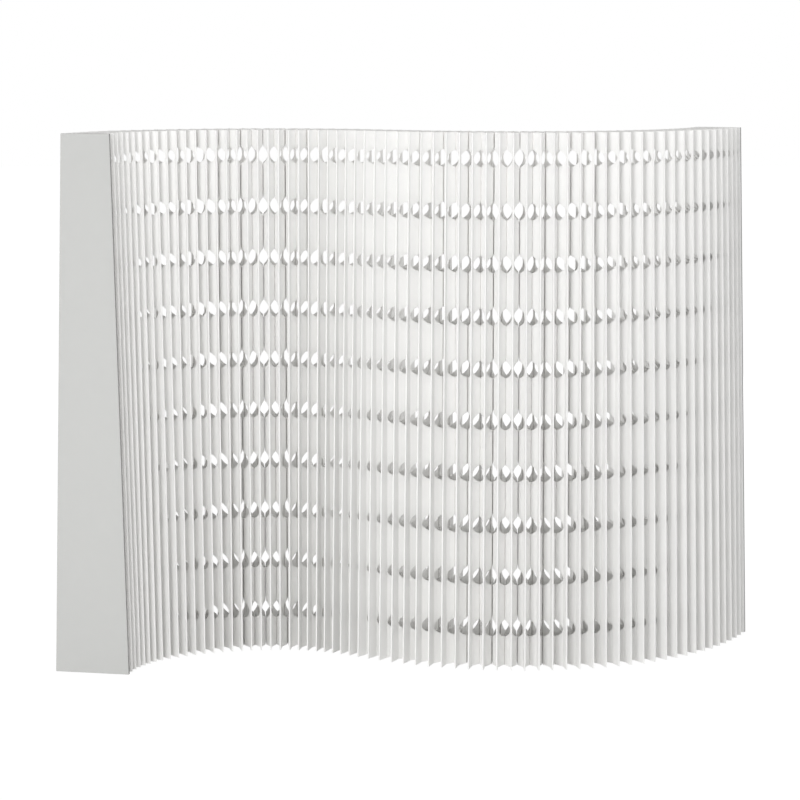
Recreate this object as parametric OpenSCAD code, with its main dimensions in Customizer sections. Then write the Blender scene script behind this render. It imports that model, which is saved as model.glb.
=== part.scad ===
// Pleated paper screen: a free-standing wall of glued paper leaves between two end boards.
// Seen from above it is a chain of long hollow cells, each with a narrow fin at its front and back
// end, and the chain is laid out as an S. A leaf is one side of a cell.
// +Z is up, the viewer stands on the -Y side, and the origin is under the middle of the box.

/* [Screen] */
// Height of every leaf and of both end boards
screen_height = 1600; // [900:10:2200]
// Depth of the screen at the floor, from front ridge to back ridge
foot_depth = 225; // [180:1:320]
// Depth of the screen at its top edge
top_depth = 147; // [120:1:180]
// Distance along the screen from one ridge to the next
fold_pitch = 36.1; // [30:0.1:48]

/* [Paper] */
// Thickness of one sheet of paper
paper_thickness = 0.6; // [0.4:0.1:1.2]
// Width of the flat fold that runs down each front and back ridge
ridge_width = 4; // [3:0.5:7]
// Depth of the narrow fin behind each ridge, at the top edge
top_fin = 4; // [3:0.5:10]
// Depth of the strip in the middle of a leaf that is glued to the next leaf
glued_depth = 76; // [50:2:90]
// Gap between two blocks of cells where the screen bends
bend_gap = 0.6; // [0.4:0.1:1.2]

/* [Openings] */
// Number of rows of openings
row_count = 10; // [2:1:11]
// Height of an opening at the middle line
opening_height = 62; // [50:1:80]
// Height of an opening at its front and back ends
opening_end_height = 24; // [10:1:40]
// Paper left between an opening and the crease where a fin begins
opening_margin = 1; // [0.5:0.5:10]
// Height of the lowest row of openings above the floor
lowest_row = 113; // [60:1:200]
// Distance from the top edge down to the highest row of openings
highest_row_drop = 77; // [60:1:200]

/* [End boards] */
// Thickness of an end board
board_thickness = 12; // [6:1:25]

/* [Curve] */
// Direction in which the screen leaves the left board, in degrees from the x axis
start_heading = 82; // [40:1:90]
// Angle in degrees of the bend on the left, which opens towards the viewer
left_bend = 120; // [60:1:125]
// Angle in degrees of the bend on the right, which opens away from the viewer
right_bend = 107; // [40:1:115]

/* [Hidden] */
// Names of the sub-parts
// Sub-part to draw
// Number of whole cells, and of the middle one
cell_count = 63;
middle_cell = (cell_count + 1) / 2;
// Share of each bend that is made by a step, where nine even steps make up the screen
left_share = [[0, 0], [1, 0.34], [2, 0.53], [3, 0.73], [4, 1]];
right_share = [[4, 0], [5, 0.17], [6, 0.38], [7, 0.57], [8, 0.79], [9, 1]];
// Length of one of the nine steps of the two lists, in cells
share_step = (cell_count + 1) / 9;
// Half the width of a cell towards a cell that is glued to it, where the two sheets run into each
// other a little, and towards a bend
glued_end = fold_pitch / 2 + paper_thickness / 6;
bend_end = (fold_pitch - bend_gap) / 2;
// Angle in degrees by which a glued strip stands off the next one at a bend, on either side
bend_room = 2;
// Distance from a middle line to the crease where a fin begins, the same at all heights
fin_start = top_depth / 2 - top_fin;
// Turn of a leaf at each of its two creases, between the glued strip and the fin
crease_turn = atan((fold_pitch - ridge_width) / (2 * fin_start - glued_depth));
// Width of an opening from front to back, the same in all rows
opening_width = 2 * (fin_start - opening_margin);
// How far a cutting shape runs past what it cuts
past = 1;
// Distance between rows
row_pitch = (screen_height - lowest_row - highest_row_drop) / (row_count - 1);
paper = [0.95, 0.94, 0.91];
board = [0.84, 0.84, 0.83];

// Directions along the screen at a heading, and out of its front
function along(a) = [cos(a), sin(a)];
function front(a) = [sin(a), -cos(a)];

// Heading of cell i, where 0 and cell_count + 1 are the half cells on the boards
function sharp_heading(i) =
    start_heading - left_bend * lookup(i / share_step, left_share)
    + right_bend * lookup(i / share_step, right_share);
function heading(i) =
    (sharp_heading(max(i - 2, 0)) + 2 * sharp_heading(i)
    + sharp_heading(min(i + 2, cell_count + 1))) / 4;

// Middle lines: 0 is at the left board, then one between each two cells, the last at the right board
function stride(i) = (i == 0 || i == cell_count + 1 ? fold_pitch / 2 : fold_pitch) * along(heading(i));
laid = [for (i = 0, p = [0, 0]; i <= cell_count + 2; p = p + stride(i), i = i + 1) p];

// Outermost points of the layout, used to put the origin under the middle
function edge_points(p, a) = [p + front(a) * foot_depth / 2, p - front(a) * foot_depth / 2];
function board_points(i, p, side) =
    let (a = heading(i))
    concat(edge_points(p, a), edge_points(p + side * board_thickness * along(a), a));
function ridge_points(i) =
    let (a = heading(i), c = (laid[i] + laid[i + 1]) / 2, r = along(a) * ridge_width / 2)
    concat(edge_points(c - r, a), edge_points(c + r, a));
outer_points = concat(
    board_points(0, laid[0], -1),
    board_points(cell_count + 1, laid[cell_count + 2], 1),
    [for (i = [1:cell_count]) each ridge_points(i)]);
xs = [for (p = outer_points) p[0]];
ys = [for (p = outer_points) p[1]];
middle = [(min(xs) + max(xs)) / 2, (min(ys) + max(ys)) / 2];
line = [for (p = laid) p - middle];
function centre(i) = (line[i] + line[i + 1]) / 2;

// Angle from cell i's own heading to the line that it shares with the cell before it or after it
function turn_before(i) = (heading(i - 1) - heading(i)) / 2;
function turn_after(i) = (heading(i + 1) - heading(i)) / 2;

// Corners of one quarter of a cell's plan: where the glued strip ends, where the fin begins and
// where it ends. half is the distance to the middle line, the strip is turned inwards by turn,
// and inset is 0 for the outside of the paper and 1 for the inside.
function quarter(half, turn, inset) =
    let (t = inset * paper_thickness, back = t * tan(crease_turn / 2), strip = glued_depth / 2 - back)
    [[half - t - strip * tan(turn), strip],
        [ridge_width / 2 - t, fin_start - back],
        [ridge_width / 2 - t, foot_depth]];

// One side of a cell's plan, from its back fin to its front fin. Its glued strip is turned by angle.
function side_points(half, angle, inset) =
    let (room = half == bend_end ? bend_room : 0, t = inset * paper_thickness,
        behind = quarter(half, room + angle, inset), before = quarter(half, room - angle, inset))
    [behind[2], behind[1], behind[0], [half - t, 0],
        [before[0][0], -before[0][1]], [before[1][0], -before[1][1]], [before[2][0], -before[2][1]]];
function mirrored(points) = [for (i = [len(points) - 1:-1:0]) [-points[i][0], points[i][1]]];

// Upright column with that plan that narrows towards the top, up from z = bottom to top
module column(plan, inset, bottom, top) {
    low = depth_at(bottom) / 2 - inset * paper_thickness;
    high = depth_at(top) / 2 - inset * paper_thickness;
    intersection() {
        translate([0, 0, bottom - past])
            linear_extrude(height = top - bottom + 2 * past)
                polygon(plan);
        rotate([90, 0, 90])
            linear_extrude(height = 2 * fold_pitch, center = true)
                polygon([[-low, bottom], [low, bottom], [high, top], [-high, top]]);
    }
}
function depth_at(z) = foot_depth + (top_depth - foot_depth) * z / screen_height;

// Whole cell, with the distances to its left and right middle lines
module whole_cell(i, left, right, inset, bottom, top) {
    plan = concat(side_points(right, turn_after(i), inset),
        mirrored(side_points(left, -turn_before(i), inset)));
    at_cell(i)
        column(plan, inset, bottom, top);
}

// Half a cell on an end board, whose backing sheet is at x = 0
module half_cell(side, inset, bottom, top) {
    angle = side > 0 ? turn_after(0) : -turn_before(cell_count + 1);
    plan = concat(side_points(bend_end, angle, inset),
        [[inset * paper_thickness, -foot_depth], [inset * paper_thickness, foot_depth]]);
    at_end(side)
        column(plan, inset, bottom, top);
}

// Openings in the two leaves at middle line i, which end halfway to the next middle lines
module openings_at(i) {
    a = heading(i - 1);
    b = heading(i);
    reach = foot_depth / 2;
    intersection() {
        translate([line[i][0], line[i][1], 0])
            rotate([0, 0, (a + b) / 2])
                opening_column();
        linear_extrude(height = screen_height)
            polygon([inside(i - 1) + front(a) * reach, inside(i) + front(b) * reach,
                inside(i) - front(b) * reach, inside(i - 1) - front(a) * reach]);
    }
}

// Point in the hollow of cell i, clear of the backing sheet of a half cell
function inside(i) =
    i == 0 ? line[0] + along(heading(0)) * ridge_width / 4
    : i == cell_count + 1 ? line[cell_count + 2] - along(heading(i)) * ridge_width / 4
    : centre(i);

// Column of openings, centred on the z axis. An opening is an oval of two wide arcs that are cut
// off at its front and back ends.
module opening_column() {
    rise = (opening_height - opening_end_height) / 2;
    arc_radius = (opening_width ^ 2 / 4 + rise ^ 2) / (2 * rise);
    for (row = [0:row_count - 1])
        translate([0, 0, lowest_row + row * row_pitch])
            rotate([90, 0, 90])
                linear_extrude(height = 2 * fold_pitch, center = true)
                    intersection() {
                        translate([0, arc_radius - opening_height / 2])
                            circle(r = arc_radius);
                        translate([0, opening_height / 2 - arc_radius])
                            circle(r = arc_radius);
                        square([opening_width, 2 * opening_height], center = true);
                    }
}

// Puts a piece made round the z axis at cell i
module at_cell(i) {
    translate([centre(i)[0], centre(i)[1], 0])
        rotate([0, 0, heading(i)])
            children();
}

// Block of whole cells from a to b. Its outer leaves stand back from the bends, and the leaves
// inside it are glued to each other.
module cell_block(a, b) {
    color(paper)
        difference() {
            union() {
                for (i = [a:b])
                    whole_cell(i, i == a ? bend_end : glued_end, i == b ? bend_end : glued_end,
                        0, 0, screen_height);
            }
            for (i = [a:b])
                whole_cell(i, i == a ? bend_end : glued_end, i == b ? bend_end : glued_end,
                    1, -past, screen_height + past);
            for (i = [a:b + 1])
                openings_at(i);
        }
}

// Puts a piece made in a board's own frame in its place at the end with that side
module at_end(side) {
    i = side > 0 ? 0 : cell_count + 1;
    p = line[side > 0 ? 0 : cell_count + 2];
    translate([p[0], p[1], 0])
        rotate([0, 0, heading(i)])
            mirror([side > 0 ? 0 : 1, 0, 0])
                children();
}

// Backing sheet on the board with the half cell that joins it to the first middle line
module end_cell(side) {
    color(paper)
        difference() {
            half_cell(side, 0, 0, screen_height);
            half_cell(side, 1, -past, screen_height + past);
            openings_at(side > 0 ? 1 : cell_count + 1);
        }
}

// Stiff board that closes one end of the screen
module end_board(side) {
    color(board)
        at_end(side)
            translate([-board_thickness, 0, 0])
                rotate([90, 0, 90])
                    linear_extrude(height = board_thickness)
                        polygon([[-foot_depth / 2, 0], [foot_depth / 2, 0],
                            [top_depth / 2, screen_height], [-top_depth / 2, screen_height]]);
}

// Blocks of two cells, counted outwards from the block of three in the middle
module left_block(k) {
    cell_block(middle_cell - 1 - 2 * k, middle_cell - 2 * k);
}
module right_block(k) {
    cell_block(middle_cell + 2 * k, middle_cell + 1 + 2 * k);
}

module board_left() {
    end_board(1);
}
module board_right() {
    end_board(-1);
}
module end_cell_left() {
    end_cell(1);
}
module end_cell_right() {
    end_cell(-1);
}
module cells_middle() {
    cell_block(middle_cell - 1, middle_cell + 1);
}
module cells_left_01() {
    left_block(1);
}
module cells_left_02() {
    left_block(2);
}
module cells_left_03() {
    left_block(3);
}
module cells_left_04() {
    left_block(4);
}
module cells_left_05() {
    left_block(5);
}
module cells_left_06() {
    left_block(6);
}
module cells_left_07() {
    left_block(7);
}
module cells_left_08() {
    left_block(8);
}
module cells_left_09() {
    left_block(9);
}
module cells_left_10() {
    left_block(10);
}
module cells_left_11() {
    left_block(11);
}
module cells_left_12() {
    left_block(12);
}
module cells_left_13() {
    left_block(13);
}
module cells_left_14() {
    left_block(14);
}
module cells_left_15() {
    left_block(15);
}
module cells_right_01() {
    right_block(1);
}
module cells_right_02() {
    right_block(2);
}
module cells_right_03() {
    right_block(3);
}
module cells_right_04() {
    right_block(4);
}
module cells_right_05() {
    right_block(5);
}
module cells_right_06() {
    right_block(6);
}
module cells_right_07() {
    right_block(7);
}
module cells_right_08() {
    right_block(8);
}
module cells_right_09() {
    right_block(9);
}
module cells_right_10() {
    right_block(10);
}
module cells_right_11() {
    right_block(11);
}
module cells_right_12() {
    right_block(12);
}
module cells_right_13() {
    right_block(13);
}
module cells_right_14() {
    right_block(14);
}
module cells_right_15() {
    right_block(15);
}

board_left();
board_right();
end_cell_left();
end_cell_right();
cells_middle();
cells_left_01();
cells_left_02();
cells_left_03();
cells_left_04();
cells_left_05();
cells_left_06();
cells_left_07();
cells_left_08();
cells_left_09();
cells_left_10();
cells_left_11();
cells_left_12();
cells_left_13();
cells_left_14();
cells_left_15();
cells_right_01();
cells_right_02();
cells_right_03();
cells_right_04();
cells_right_05();
cells_right_06();
cells_right_07();
cells_right_08();
cells_right_09();
cells_right_10();
cells_right_11();
cells_right_12();
cells_right_13();
cells_right_14();
cells_right_15();
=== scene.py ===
import math
import random

import bpy
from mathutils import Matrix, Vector


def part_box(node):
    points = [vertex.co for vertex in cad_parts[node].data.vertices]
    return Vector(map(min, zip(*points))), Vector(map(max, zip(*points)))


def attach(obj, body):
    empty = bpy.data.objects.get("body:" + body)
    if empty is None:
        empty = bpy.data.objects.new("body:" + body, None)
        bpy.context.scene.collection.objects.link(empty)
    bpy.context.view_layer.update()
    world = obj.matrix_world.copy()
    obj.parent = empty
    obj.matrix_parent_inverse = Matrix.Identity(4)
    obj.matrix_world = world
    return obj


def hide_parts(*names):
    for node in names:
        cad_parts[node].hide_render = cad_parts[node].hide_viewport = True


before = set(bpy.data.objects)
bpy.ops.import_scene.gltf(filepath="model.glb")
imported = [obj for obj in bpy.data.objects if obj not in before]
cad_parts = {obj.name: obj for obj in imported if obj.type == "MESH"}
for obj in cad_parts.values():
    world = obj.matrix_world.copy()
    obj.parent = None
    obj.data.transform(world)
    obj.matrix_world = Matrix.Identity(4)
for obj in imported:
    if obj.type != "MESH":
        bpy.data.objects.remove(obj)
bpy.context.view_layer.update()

# Sizes of the screen in metres and degrees, as in the part's source
SCREEN_HEIGHT = 1.6
FOOT_DEPTH = 0.225
TOP_DEPTH = 0.147
FOLD_PITCH = 0.0361
PAPER_THICKNESS = 0.0006
ROW_COUNT = 10
OPENING_HEIGHT = 0.062
LOWEST_ROW = 0.113
HIGHEST_ROW_DROP = 0.077
BOARD_THICKNESS = 0.012
START_HEADING = 82
LEFT_BEND = 120
RIGHT_BEND = 107
CELL_COUNT = 63
MIDDLE_CELL = 32
BLOCKS_PER_SIDE = 15

# How much of each bend is done at each ninth of the way along the screen
BEND_STEPS = 9
LEFT_SHARE = [(0, 0), (1, 0.34), (2, 0.53), (3, 0.73), (4, 1)]
RIGHT_SHARE = [(4, 0), (5, 0.17), (6, 0.38), (7, 0.57), (8, 0.79), (9, 1)]

# One cell. A fin is shortest at the top, and the openings end just before the fins.
RIDGE_WIDTH = 0.004
BEND_GAP = 0.0006
BEND_ROOM = 2
GLUED_DEPTH = 0.076
SHORTEST_FIN = 0.004
FIN_START = TOP_DEPTH / 2 - SHORTEST_FIN
OPENING_WIDTH = 2 * (FIN_START - 0.001)

# Gap between two glued leaves, and rounding of the ridges' corners, of the creases beside the fins
# and beside the glued strips, and of the boards' edges
GLUE_GAP = 0.0001
RIDGE_ROUNDING = 0.0012
FIN_ROUNDING = 0.0026
STRIP_ROUNDING = 0.003
BOARD_ROUNDING = 0.0012

# Cells whose bends differ by less than this, in degrees, share a shape
TURN_STEP = 0.5

# How close to a place, in metres, a corner is picked by it, before and after the first rounding
NEAR = 0.001
CLOSE = 0.0001

# How far a ridge may stand off its true line, as folded paper does
RIDGE_STRAY = 0.0012
stray = random.Random(36)


# --- layout of the cells on the floor ---

def lookup(x, steps):
    """The value at x on the broken line through steps."""
    if x <= steps[0][0]:
        return steps[0][1]
    for (x0, y0), (x1, y1) in zip(steps, steps[1:]):
        if x <= x1:
            return y0 + (y1 - y0) * (x - x0) / (x1 - x0)
    return steps[-1][1]


def sharp_heading(i):
    """Heading of line i in degrees, with a corner wherever the bends change."""
    step = i / ((CELL_COUNT + 1) / BEND_STEPS)
    bent_left = LEFT_BEND * lookup(step, LEFT_SHARE)
    bent_right = RIGHT_BEND * lookup(step, RIGHT_SHARE)
    return START_HEADING - bent_left + bent_right


def heading(i):
    """Heading of cell i in radians, eased over the cells beside it."""
    before, after = max(i - 2, 0), min(i + 2, CELL_COUNT + 1)
    total = sharp_heading(before) + 2 * sharp_heading(i) + sharp_heading(after)
    return math.radians(total / 4)


def middle_lines():
    """Places of the middle lines, first the left board's face and last the right board's."""
    points = [Vector((0, 0, 0))]
    for i in range(CELL_COUNT + 2):
        length = FOLD_PITCH / 2 if i in (0, CELL_COUNT + 1) else FOLD_PITCH
        step = Vector((math.cos(heading(i)), math.sin(heading(i)), 0))
        points.append(points[-1] + length * step)
    return points


# Of the left board's corners, the outer left one stands furthest to the left of the whole screen
# and the outer right one furthest to the front
left_board_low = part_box("board_left")[0]
outer_corner = Vector((-BOARD_THICKNESS, FOOT_DEPTH / 2, 0))
first_heading = heading(0)
corner_x = outer_corner.x * math.cos(first_heading) - outer_corner.y * math.sin(first_heading)
corner_y = -BOARD_THICKNESS * math.sin(first_heading) - FOOT_DEPTH / 2 * math.cos(first_heading)
origin = Vector((left_board_low.x - corner_x, left_board_low.y - corner_y, 0))
lines = [point + origin for point in middle_lines()]


# --- modelling helpers ---

def deselect():
    if bpy.context.object and bpy.context.object.mode != "OBJECT":
        bpy.ops.object.mode_set(mode="OBJECT")
    bpy.ops.object.select_all(action="DESELECT")


def activate(obj):
    deselect()
    obj.select_set(True)
    bpy.context.view_layer.objects.active = obj
    return obj


def edit(obj, kind):
    """Opens obj in edit mode with nothing selected, to pick vertices, edges or faces."""
    activate(obj)
    bpy.ops.object.mode_set(mode="EDIT")
    bpy.ops.mesh.select_mode(type=kind)
    bpy.ops.mesh.select_all(action="DESELECT")
    bpy.ops.object.mode_set(mode="OBJECT")


def pick(obj, parts, wanted):
    """Selects the parts of obj's mesh that wanted() names, and returns to edit mode."""
    for part in parts:
        part.select = wanted(part)
    bpy.ops.object.mode_set(mode="EDIT")


def finish_edit():
    bpy.ops.object.mode_set(mode="OBJECT")


def apply_modifier(obj, kind, **values):
    activate(obj)
    bpy.ops.object.modifier_add(type=kind)
    modifier = obj.modifiers[-1]
    for name, value in values.items():
        setattr(modifier, name, value)
    bpy.ops.object.modifier_apply(modifier=modifier.name)


def copy_of(obj):
    activate(obj)
    bpy.ops.object.duplicate()
    return bpy.context.object


def join(objects, name):
    deselect()
    for obj in objects:
        obj.select_set(True)
    bpy.context.view_layer.objects.active = objects[0]
    if len(objects) > 1:
        bpy.ops.object.join()
    joined = bpy.context.object
    joined.name = name
    joined.data.name = name
    return joined


def put(obj, point, angle, flip=False):
    """Turns obj about the upright axis, moves it to point and applies both to its mesh."""
    activate(obj)
    obj.scale = (-1 if flip else 1, 1, 1)
    obj.rotation_euler = (0, 0, angle)
    obj.location = point
    bpy.ops.object.transform_apply(location=True, rotation=True, scale=True)
    if flip:
        bpy.ops.object.mode_set(mode="EDIT")
        bpy.ops.mesh.select_all(action="SELECT")
        bpy.ops.mesh.flip_normals()
        bpy.ops.object.mode_set(mode="OBJECT")
    return obj


# --- one paper cell ---

def row_heights():
    pitch = (SCREEN_HEIGHT - LOWEST_ROW - HIGHEST_ROW_DROP) / (ROW_COUNT - 1)
    return [LOWEST_ROW + row * pitch for row in range(ROW_COUNT)]


def plan_points():
    """Corners of a cell's plan, anticlockwise from its right middle line."""
    half, fold = FOLD_PITCH / 2, RIDGE_WIDTH / 2
    strip, ridge = GLUED_DEPTH / 2, FOOT_DEPTH / 2
    quarter = [(half, strip), (fold, FIN_START), (fold, ridge)]
    back = quarter + [(-x, y) for x, y in reversed(quarter)]
    return [(half, 0)] + back + [(-half, 0)] + [(-x, -y) for x, y in back]


def sharp_tube():
    """The two leaves of one cell as a single skin with sharp creases and leaning ridges."""
    points = plan_points()
    bpy.ops.mesh.primitive_circle_add(vertices=len(points), radius=1, fill_type="NOTHING")
    tube = bpy.context.object
    for index, (x, y) in enumerate(points):
        edit(tube, "VERT")
        step = Vector((x, y, 0)) - tube.data.vertices[index].co
        tube.data.vertices[index].select = True
        bpy.ops.object.mode_set(mode="EDIT")
        bpy.ops.transform.translate(value=step)
        finish_edit()
    edit(tube, "EDGE")
    pick(tube, tube.data.edges, lambda e: True)
    bpy.ops.mesh.extrude_edges_move(TRANSFORM_OT_translate={"value": (0, 0, SCREEN_HEIGHT)})
    finish_edit()
    for side in (-1, 1):
        edit(tube, "VERT")
        pick(tube, tube.data.vertices, lambda v: v.co.z > SCREEN_HEIGHT / 2
             and side * v.co.y > FOOT_DEPTH / 2 - NEAR)
        bpy.ops.transform.translate(value=(0, side * (TOP_DEPTH - FOOT_DEPTH) / 2, 0))
        finish_edit()
    return tube


def upright_edges(obj, wanted):
    """Selects obj's upright edges whose foot is at a place that wanted(x, y) names."""
    edit(obj, "EDGE")

    def chosen(part):
        low, high = sorted((obj.data.vertices[i].co for i in part.vertices), key=lambda co: co.z)
        return high.z - low.z > SCREEN_HEIGHT / 2 and wanted(low.x, low.y)

    pick(obj, obj.data.edges, chosen)


def turn_strips(tube, before, after, open_left, open_right):
    """Turns the glued strips with the neighbouring cells, and sets them back from a bend."""
    for side, angle, is_open in ((-1, before, open_left), (1, after, open_right)):
        room = BEND_ROOM if is_open else 0
        back = (BEND_GAP if is_open else GLUE_GAP) / 2
        for end in (-1, 0, 1):
            lean = math.tan(math.radians(room + side * end * angle))
            inwards = back + (GLUED_DEPTH / 2 * lean if end else 0)
            upright_edges(tube, lambda x, y: side * x > FOLD_PITCH / 4
                          and abs(y - end * GLUED_DEPTH / 2) < NEAR)
            bpy.ops.transform.translate(value=(-side * inwards, 0, 0))
            finish_edit()


def shift_ridges(tube):
    """Moves the front and the back fin sideways a little."""
    for side in (-1, 1):
        upright_edges(tube, lambda x, y: side * y > FOOT_DEPTH / 2 - NEAR)
        bpy.ops.transform.translate(value=(stray.uniform(-RIDGE_STRAY, RIDGE_STRAY), 0, 0))
        finish_edit()


def round_creases(tube):
    """Rounds the creases beside the strips, then those beside the fins, then the ridges."""
    upright_edges(tube, lambda x, y: abs(abs(y) - GLUED_DEPTH / 2) < NEAR)
    bpy.ops.mesh.bevel(offset=STRIP_ROUNDING, segments=4, profile=0.5, affect="EDGES")
    finish_edit()
    upright_edges(tube, lambda x, y: abs(abs(y) - FIN_START) < CLOSE)
    bpy.ops.mesh.bevel(offset=FIN_ROUNDING, segments=3, profile=0.5, affect="EDGES")
    finish_edit()
    upright_edges(tube, lambda x, y: abs(abs(y) - FOOT_DEPTH / 2) < CLOSE)
    bpy.ops.mesh.bevel(offset=RIDGE_ROUNDING, segments=3, profile=0.5, affect="EDGES")
    bpy.ops.mesh.select_all(action="SELECT")
    bpy.ops.mesh.normals_make_consistent(inside=False)
    finish_edit()


def opening_punch():
    """One oval rod per row, which together cut all openings of a cell."""
    rods = []
    for height in row_heights():
        bpy.ops.mesh.primitive_cylinder_add(
            vertices=40, radius=1, depth=1, rotation=(0, math.pi / 2, 0))
        rod = bpy.context.object
        bpy.ops.object.transform_apply(location=False, rotation=True, scale=False)
        rod.scale = (FOLD_PITCH + 0.004, OPENING_WIDTH / 2, OPENING_HEIGHT / 2)
        rod.location = (0, 0, height)
        bpy.ops.object.transform_apply(location=True, rotation=True, scale=True)
        rods.append(rod)
    return join(rods, "punch")


plain_tube = sharp_tube()
punch = opening_punch()


def paper_cell(before, after, open_left, open_right):
    """A cell whose left and right strips are turned by before and after degrees."""
    cell = copy_of(plain_tube)
    turn_strips(cell, before, after, open_left, open_right)
    shift_ridges(cell)
    round_creases(cell)
    apply_modifier(cell, "SOLIDIFY", thickness=PAPER_THICKNESS, offset=-1, use_even_offset=True)
    apply_modifier(cell, "BOOLEAN", operation="DIFFERENCE", solver="EXACT", object=punch)
    activate(cell)
    bpy.ops.object.shade_smooth_by_angle(angle=math.radians(35))
    apply_modifier(cell, "WEIGHTED_NORMAL", keep_sharp=True)
    return cell


def half_cell(after):
    """The half of a cell on an end board, with the backing sheet that is glued to the board."""
    half = paper_cell(-after, after, True, True)
    edit(half, "FACE")
    pick(half, half.data.polygons, lambda f: True)
    bpy.ops.mesh.bisect(plane_co=(0, 0, 0), plane_no=(1, 0, 0), clear_inner=True)
    finish_edit()
    backing = trapezoid(0, PAPER_THICKNESS)
    return join([half, backing], "half_cell")


def trapezoid(near, far):
    """An upright sheet between x = near and x = far that narrows towards the top."""
    bpy.ops.mesh.primitive_cube_add(size=1)
    sheet = bpy.context.object
    sheet.scale = (far - near, FOOT_DEPTH, SCREEN_HEIGHT)
    sheet.location = ((near + far) / 2, 0, SCREEN_HEIGHT / 2)
    bpy.ops.object.transform_apply(location=True, rotation=True, scale=True)
    edit(sheet, "VERT")
    pick(sheet, sheet.data.vertices, lambda v: v.co.z > SCREEN_HEIGHT / 2)
    bpy.ops.transform.resize(value=(1, TOP_DEPTH / FOOT_DEPTH, 1))
    finish_edit()
    return sheet


def end_board():
    board = trapezoid(-BOARD_THICKNESS, 0)
    edit(board, "EDGE")
    pick(board, board.data.edges, lambda e: True)
    bpy.ops.mesh.bevel(offset=BOARD_ROUNDING, segments=3, profile=0.5, affect="EDGES")
    finish_edit()
    activate(board)
    bpy.ops.object.shade_smooth_by_angle(angle=math.radians(40))
    return board


# --- materials ---

def grain_group():
    """Mottled colour and a fine surface height, for paper and for board."""
    group = bpy.data.node_groups.new("sheet_grain", "ShaderNodeTree")
    for name, kind in (("Color", "NodeSocketColor"), ("Streaks", "NodeSocketFloat"),
                       ("Mottle", "NodeSocketFloat"), ("Ripple", "NodeSocketFloat")):
        group.interface.new_socket(name=name, in_out="INPUT", socket_type=kind)
    for name, kind in (("Color", "NodeSocketColor"), ("Height", "NodeSocketFloat"),
                       ("Roughness", "NodeSocketFloat")):
        group.interface.new_socket(name=name, in_out="OUTPUT", socket_type=kind)
    nodes, link = group.nodes, group.links.new
    given, result = nodes.new("NodeGroupInput"), nodes.new("NodeGroupOutput")
    place = nodes.new("ShaderNodeTexCoord").outputs["Object"]

    def noise(size, detail, stretch=(1, 1, 1)):
        """Noise with features of about size metres, from 0 to 1."""
        mapping = nodes.new("ShaderNodeMapping")
        mapping.inputs["Scale"].default_value = stretch
        link(place, mapping.inputs["Vector"])
        texture = nodes.new("ShaderNodeTexNoise")
        texture.inputs["Scale"].default_value = 1 / size
        texture.inputs["Detail"].default_value = detail
        link(mapping.outputs[0], texture.inputs["Vector"])
        return texture.outputs[0]

    def math_node(operation, first, second, third=None):
        node = nodes.new("ShaderNodeMath")
        node.operation = operation
        for socket, value in zip(node.inputs, (first, second, third)):
            if isinstance(value, (int, float)):
                socket.default_value = value
            elif value is not None:
                link(value, socket)
        return node.outputs[0]

    fibre = noise(0.0007, 4)
    cloud = noise(0.03, 3)
    streak = noise(0.003, 2, (1, 1, 0.02))
    ripple = noise(0.014, 1, (1, 1, 0.09))
    fleck = math_node("ADD", math_node("MULTIPLY", fibre, 0.4), math_node("MULTIPLY", cloud, 0.6))
    shade = math_node("MULTIPLY", math_node("SUBTRACT", fleck, 0.5), given.outputs["Mottle"])
    streaks = math_node("MULTIPLY", math_node("SUBTRACT", streak, 0.5), given.outputs["Streaks"])
    factor = math_node("ADD", 1, math_node("ADD", shade, streaks))
    tinted = nodes.new("ShaderNodeVectorMath")
    tinted.operation = "SCALE"
    link(given.outputs["Color"], tinted.inputs[0])
    link(factor, tinted.inputs["Scale"])
    link(tinted.outputs[0], result.inputs["Color"])
    waves = math_node("MULTIPLY", ripple, given.outputs["Ripple"])
    link(math_node("ADD", math_node("MULTIPLY", fibre, 0.06), waves), result.inputs["Height"])
    link(math_node("MULTIPLY_ADD", fibre, 0.2, 0.72), result.inputs["Roughness"])
    return group


sheet_grain = grain_group()


def grained(name, color, streaks, mottle, ripple, see_through=0):
    """A matt sheet material. see_through is the share of its light that comes from behind."""
    material = bpy.data.materials.new(name)
    material.use_nodes = True
    tree = material.node_tree
    shader = tree.nodes["Principled BSDF"]
    shader.inputs["Specular IOR Level"].default_value = 0.25
    grain = tree.nodes.new("ShaderNodeGroup")
    grain.node_tree = sheet_grain
    grain.inputs["Color"].default_value = (*color, 1)
    for socket, value in (("Streaks", streaks), ("Mottle", mottle), ("Ripple", ripple)):
        grain.inputs[socket].default_value = value
    bump = tree.nodes.new("ShaderNodeBump")
    bump.inputs["Strength"].default_value = 0.5
    bump.inputs["Distance"].default_value = 0.001
    tree.links.new(grain.outputs["Color"], shader.inputs["Base Color"])
    tree.links.new(grain.outputs["Roughness"], shader.inputs["Roughness"])
    tree.links.new(grain.outputs["Height"], bump.inputs["Height"])
    tree.links.new(bump.outputs[0], shader.inputs["Normal"])
    if see_through:
        glow = tree.nodes.new("ShaderNodeBsdfTranslucent")
        tree.links.new(grain.outputs["Color"], glow.inputs["Color"])
        through = tree.nodes.new("ShaderNodeMixShader")
        through.inputs[0].default_value = see_through
        tree.links.new(shader.outputs[0], through.inputs[1])
        tree.links.new(glow.outputs[0], through.inputs[2])
        tree.links.new(through.outputs[0], tree.nodes["Material Output"].inputs["Surface"])
    return material


paper = grained("white_paper", (0.972, 0.97, 0.963), 0.035, 0.03, 0.35, 0.15)
board_skin = grained("board_skin", (0.53, 0.533, 0.521), 0, 0.04, 0)
# Painted shade: a darker grey for the board's narrow sides, standing for the shaded gap beside the
# board
board_side_shade = grained("board_side_shade", (0.3, 0.3, 0.295), 0, 0.12, 0)


# --- the pieces ---

board = end_board()
cells_by_shape = {}


def turn_before(i):
    """Half the bend between cell i and the one before it, in degrees."""
    return math.degrees(heading(i - 1) - heading(i)) / 2


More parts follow.
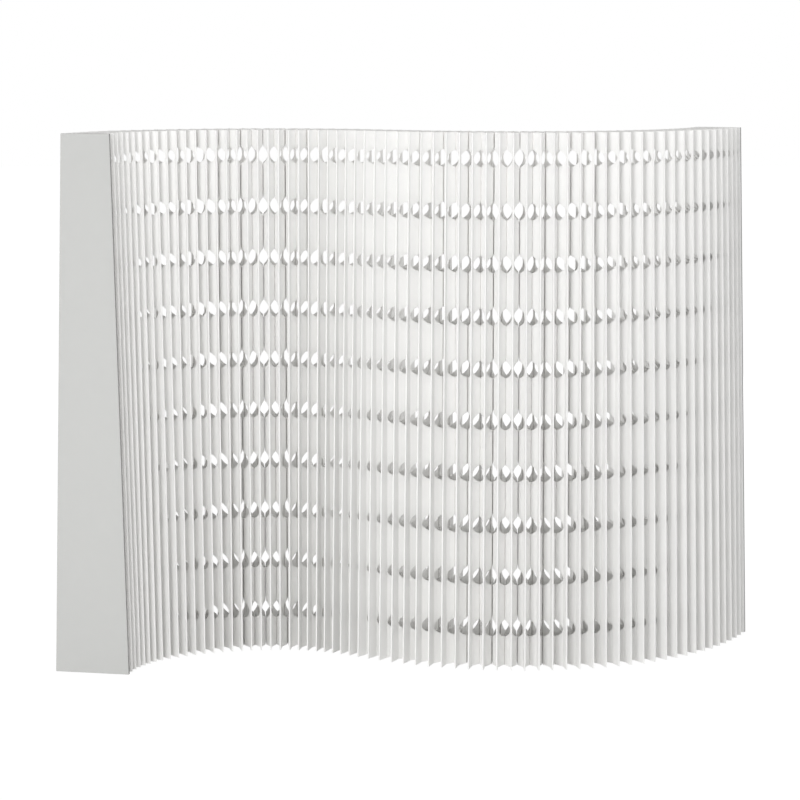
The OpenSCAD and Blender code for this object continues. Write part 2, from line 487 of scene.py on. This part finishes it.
def turn_after(i):
    """Half the bend between cell i and the one after it, in degrees."""
    return math.degrees(heading(i + 1) - heading(i)) / 2


def cell_copy(i, open_left, open_right):
    """A copy of the cell with the shape that place i needs, which is modelled once per shape."""
    before = round(turn_before(i) / TURN_STEP) * TURN_STEP
    after = round(turn_after(i) / TURN_STEP) * TURN_STEP
    shape = (before, after, open_left, open_right)
    if shape not in cells_by_shape:
        cells_by_shape[shape] = paper_cell(*shape)
    return copy_of(cells_by_shape[shape])


def dress(piece, body, node, material):
    """Gives a finished piece its material and its place in the part."""
    piece.data.materials.clear()
    piece.data.materials.append(material)
    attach(piece, body)
    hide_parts(node)


def cell_block(first, last, name, body, node):
    """The cells from first to last in one piece, with room for a bend at either end."""
    cells = []
    for i in range(first, last + 1):
        centre = (lines[i] + lines[i + 1]) / 2
        cells.append(put(cell_copy(i, i == first, i == last), centre, heading(i)))
    dress(join(cells, name), body, node, paper)


cell_block(MIDDLE_CELL - 1, MIDDLE_CELL + 1, "leaves_middle", "middle", "cells_middle")
for k in range(1, BLOCKS_PER_SIDE + 1):
    for side, first in (("left", MIDDLE_CELL - 1 - 2 * k), ("right", MIDDLE_CELL + 2 * k)):
        tag = f"{side}_{k:02d}"
        cell_block(first, first + 1, "leaves_" + tag, tag, "cells_" + tag)


def paint_side_shade(panel, normal):
    """Gives the board's narrow sides, which face across its normal, a darker grey: painted shade
    that draws the shaded gap beside the board as a dark line.
    """
    panel.data.materials.append(board_side_shade)
    for face in panel.data.polygons:
        face.material_index = int(abs(face.normal.dot(normal)) < 0.1)


for side, index, at in (("left", 0, 0), ("right", CELL_COUNT + 1, CELL_COUNT + 2)):
    flip = side == "right"
    turn = -turn_before(index) if flip else turn_after(index)
    end_leaves = put(half_cell(turn), lines[at], heading(index), flip)
    end_leaves.name = end_leaves.data.name = "end_leaves_" + side
    dress(end_leaves, side + "_end", "end_cell_" + side, paper)
    panel = put(copy_of(board), lines[at], heading(index), flip)
    panel.name = panel.data.name = "end_panel_" + side
    dress(panel, side + "_end", "board_" + side, board_skin)
    # The narrow sides get painted shade, a darker grey for the shaded gap beside the board
    paint_side_shade(panel, Vector((math.cos(heading(index)), math.sin(heading(index)), 0)))

for source in (board, plain_tube, punch, *cells_by_shape.values()):
    bpy.data.objects.remove(source)


# --- floor, light and camera ---

def seen_ray(tree):
    """1 on the camera's rays, and on those that gloss or a clear piece sends on, else 0."""
    path = tree.nodes.new("ShaderNodeLightPath")
    seen = path.outputs["Is Camera Ray"]
    for name in ("Is Glossy Ray", "Is Transmission Ray"):
        larger = tree.nodes.new("ShaderNodeMath")
        larger.operation = "MAXIMUM"
        tree.links.new(seen, larger.inputs[0])
        tree.links.new(path.outputs[name], larger.inputs[1])
        seen = larger.outputs[0]
    return seen


def white_to_camera(tree, surface, strength, share):
    """Mixes plain white into surface for what the camera sees, by share."""
    white = tree.nodes.new("ShaderNodeEmission")
    white.inputs["Strength"].default_value = strength
    scale = tree.nodes.new("ShaderNodeMath")
    scale.operation = "MULTIPLY"
    scale.inputs[1].default_value = share
    tree.links.new(seen_ray(tree), scale.inputs[0])
    mix = tree.nodes.new("ShaderNodeMixShader")
    tree.links.new(scale.outputs[0], mix.inputs[0])
    tree.links.new(surface, mix.inputs[1])
    tree.links.new(white.outputs[0], mix.inputs[2])
    return mix.outputs[0]


FLOOR_SIZE = 60
FLOOR_DROP = 0.0005
FLOOR_WHITE = 1.05
FLOOR_WHITE_SHARE = 0.9
SKY_STRENGTH = 0.72

deselect()
bpy.ops.mesh.primitive_plane_add(size=FLOOR_SIZE, location=(0, 0, -FLOOR_DROP))
floor = bpy.context.object
floor.name = "floor"
floor_paint = bpy.data.materials.new("floor_paint")
floor_paint.use_nodes = True
floor_tree = floor_paint.node_tree
floor_shader = floor_tree.nodes["Principled BSDF"]
floor_shader.inputs["Base Color"].default_value = (0.95, 0.95, 0.95, 1)
floor_shader.inputs["Roughness"].default_value = 0.9
floor_seen = white_to_camera(floor_tree, floor_shader.outputs[0], FLOOR_WHITE, FLOOR_WHITE_SHARE)
floor_tree.links.new(floor_seen, floor_tree.nodes["Material Output"].inputs["Surface"])
floor.data.materials.append(floor_paint)

scene = bpy.context.scene
world = bpy.data.worlds.new("studio")
scene.world = world
world.use_nodes = True
world_tree = world.node_tree
sky = world_tree.nodes["Background"]
sky.inputs["Color"].default_value = (1, 1, 1, 1)
sky.inputs["Strength"].default_value = SKY_STRENGTH
plain = world_tree.nodes.new("ShaderNodeBackground")
plain.inputs["Color"].default_value = (1, 1, 1, 1)
mix = world_tree.nodes.new("ShaderNodeMixShader")
world_tree.links.new(seen_ray(world_tree), mix.inputs[0])
world_tree.links.new(sky.outputs[0], mix.inputs[1])
world_tree.links.new(plain.outputs[0], mix.inputs[2])
world_tree.links.new(mix.outputs[0], world_tree.nodes["World Output"].inputs["Surface"])


def softbox(name, place, target, size, power):
    """A rectangular lamp of size metres at place that faces target."""
    light = bpy.data.lights.new(name, "AREA")
    light.shape = "RECTANGLE"
    light.size, light.size_y = size
    light.energy = power
    obj = bpy.data.objects.new(name, light)
    scene.collection.objects.link(obj)
    obj.location = place
    obj.rotation_euler = (Vector(target) - Vector(place)).to_track_quat("-Z", "Y").to_euler()


LAMP_SIZE = (2.4, 1.6)
LAMP_TARGET = (0, 0, 0.7)
softbox("key", (-2.0, -6.3, 1.3), LAMP_TARGET, LAMP_SIZE, 155)
softbox("back_fill", (2.0, 6.3, 1.3), LAMP_TARGET, LAMP_SIZE, 100)

# The camera that was fitted to the photograph: focal length and width in pixels, pitch in
# degrees, and its place off the face of the left board
FOCAL_PIXELS = 2465.8
PICTURE_PIXELS = 800
SENSOR_WIDTH = 36
CAMERA_PITCH = 6.392
CAMERA_SHIFT = -0.10
camera_data = bpy.data.cameras.new("camera")
camera_data.sensor_width = SENSOR_WIDTH
camera_data.lens = FOCAL_PIXELS / PICTURE_PIXELS * SENSOR_WIDTH
camera_data.shift_y = CAMERA_SHIFT
camera = bpy.data.objects.new("camera", camera_data)
scene.collection.objects.link(camera)
camera.location = (lines[0].x + 0.9127, lines[0].y - 7.1801, 1.859)
camera.rotation_euler = (math.radians(90 - CAMERA_PITCH), 0, 0)
scene.camera = camera

scene.cycles.max_bounces = 16
scene.cycles.diffuse_bounces = 12
scene.view_settings.view_transform = "Standard"
